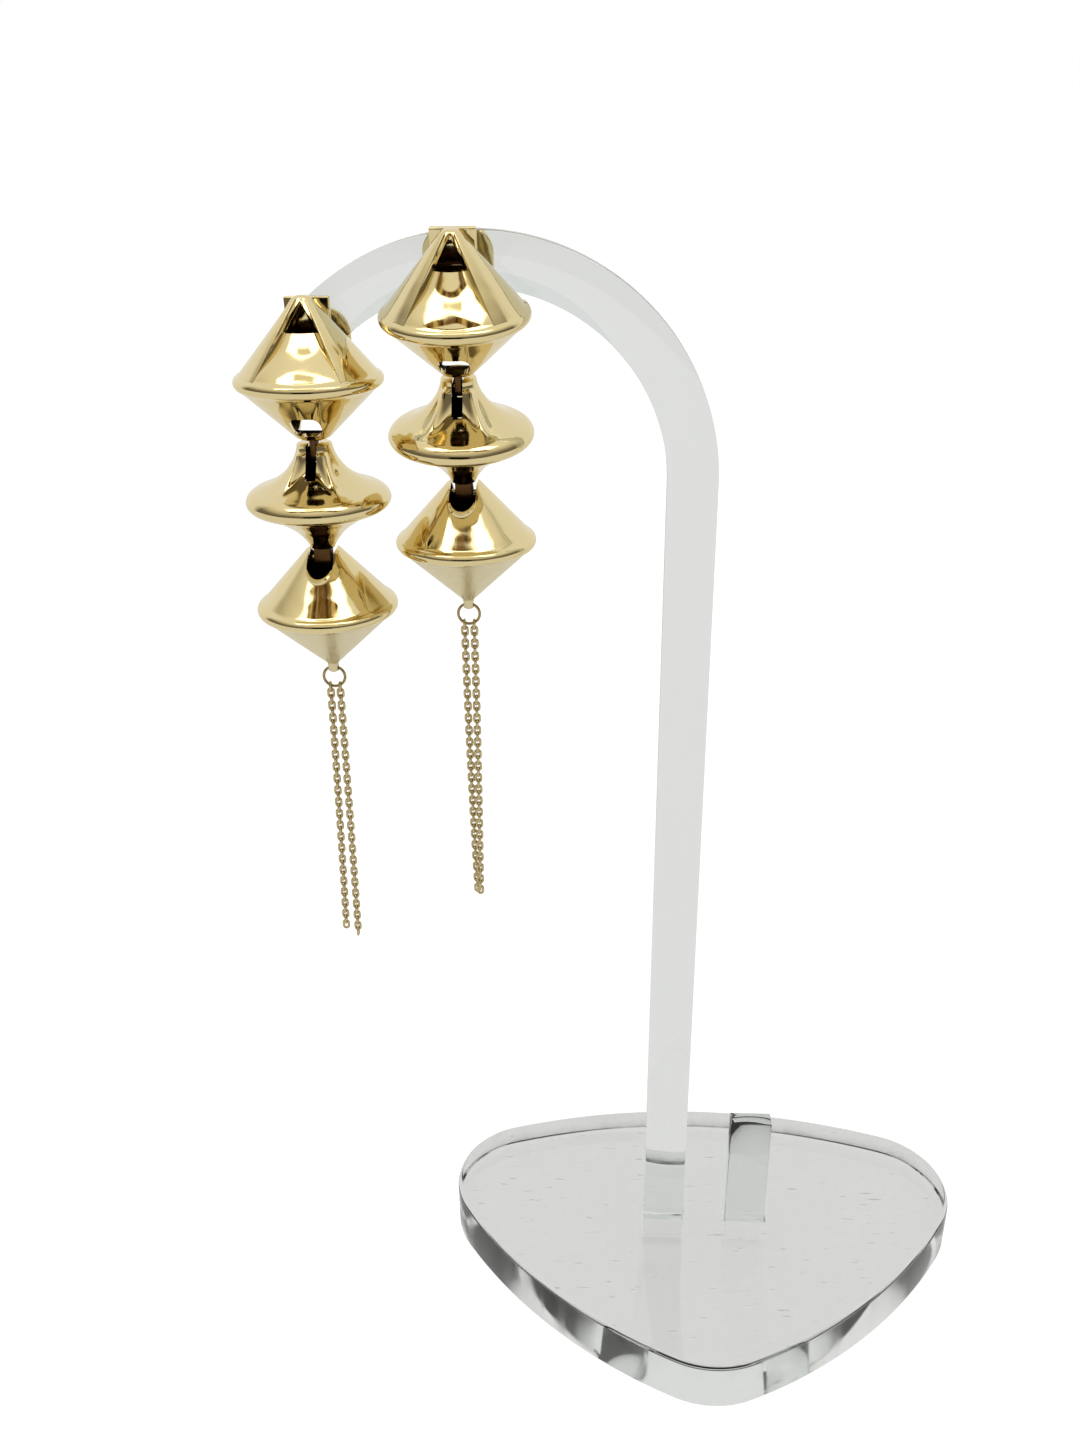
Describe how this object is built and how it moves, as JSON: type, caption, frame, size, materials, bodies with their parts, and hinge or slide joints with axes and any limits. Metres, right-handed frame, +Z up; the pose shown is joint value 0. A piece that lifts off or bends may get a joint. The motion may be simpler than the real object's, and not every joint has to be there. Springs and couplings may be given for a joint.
{
  "type": "pair of chandelier earrings on display stand",
  "caption": "Two drop earrings of three hollow gold double cones with paired chain tassels and clip backs, hung on a clear cane-shaped hook in a rounded-triangle base.",
  "frame": {"origin": "centre of the base's flat underside, on the table", "axes": "+Z up along the hook's upright, +X to the viewer's right along the base's straight back, -Y towards the viewer"},
  "size_m": [0.1177, 0.061, 0.1859],
  "materials": {
    "clear_acrylic": "clear, polished cast acrylic",
    "polished_gold": "mirror-polished yellow gold plate",
    "chain_gold": "fine polished cable chain, pale gold"
  },
  "bodies": {
    "stand": {"stand_base": "clear_acrylic", "stand_hook": "clear_acrylic", "stand_tab": "clear_acrylic", "left_top_bicone": "polished_gold", "right_top_bicone": "polished_gold"},
    "left_clip": {"left_clip_paddle": "polished_gold"},
    "left_middle": {"left_middle_bicone": "polished_gold"},
    "left_bottom": {"left_bottom_bicone": "polished_gold", "left_tassel_ring": "polished_gold", "left_chain_a": "chain_gold", "left_chain_b": "chain_gold"},
    "right_clip": {"right_clip_paddle": "polished_gold"},
    "right_middle": {"right_middle_bicone": "polished_gold"},
    "right_bottom": {"right_bottom_bicone": "polished_gold", "right_tassel_ring": "polished_gold", "right_chain_a": "chain_gold", "right_chain_b": "chain_gold"}
  },
  "joints": [
    {"name": "left_clip_lever", "type": "hinge", "parent": "stand", "child": "left_clip", "pos_m": [-0.06033, 0.005, 0.1621], "axis": [-1, 0, 0], "range_deg": [0, 60], "stiffness_Nm_per_rad": 0.002, "springref_deg": -20.05},
    {"name": "left_middle_swing", "type": "hinge", "parent": "stand", "child": "left_middle", "pos_m": [-0.06033, -0.0024, 0.15651], "axis": [1, 0, 0], "range_deg": [-13, 13]},
    {"name": "left_bottom_swing", "type": "hinge", "parent": "left_middle", "child": "left_bottom", "pos_m": [-0.06033, -0.0024, 0.1412], "axis": [1, 0, 0], "range_deg": [-14, 14]},
    {"name": "right_clip_lever", "type": "hinge", "parent": "stand", "child": "right_clip", "pos_m": [-0.04011, 0.00565, 0.17187], "axis": [-1, 0, 0], "range_deg": [0, 60], "stiffness_Nm_per_rad": 0.002, "springref_deg": -20.05},
    {"name": "right_middle_swing", "type": "hinge", "parent": "stand", "child": "right_middle", "pos_m": [-0.04011, -0.00067, 0.16507], "axis": [1, 0, 0], "range_deg": [-13, 13]},
    {"name": "right_bottom_swing", "type": "hinge", "parent": "right_middle", "child": "right_bottom", "pos_m": [-0.04011, 0.00146, 0.14992], "axis": [1, 0, 0], "range_deg": [-14, 14]}
  ]
}
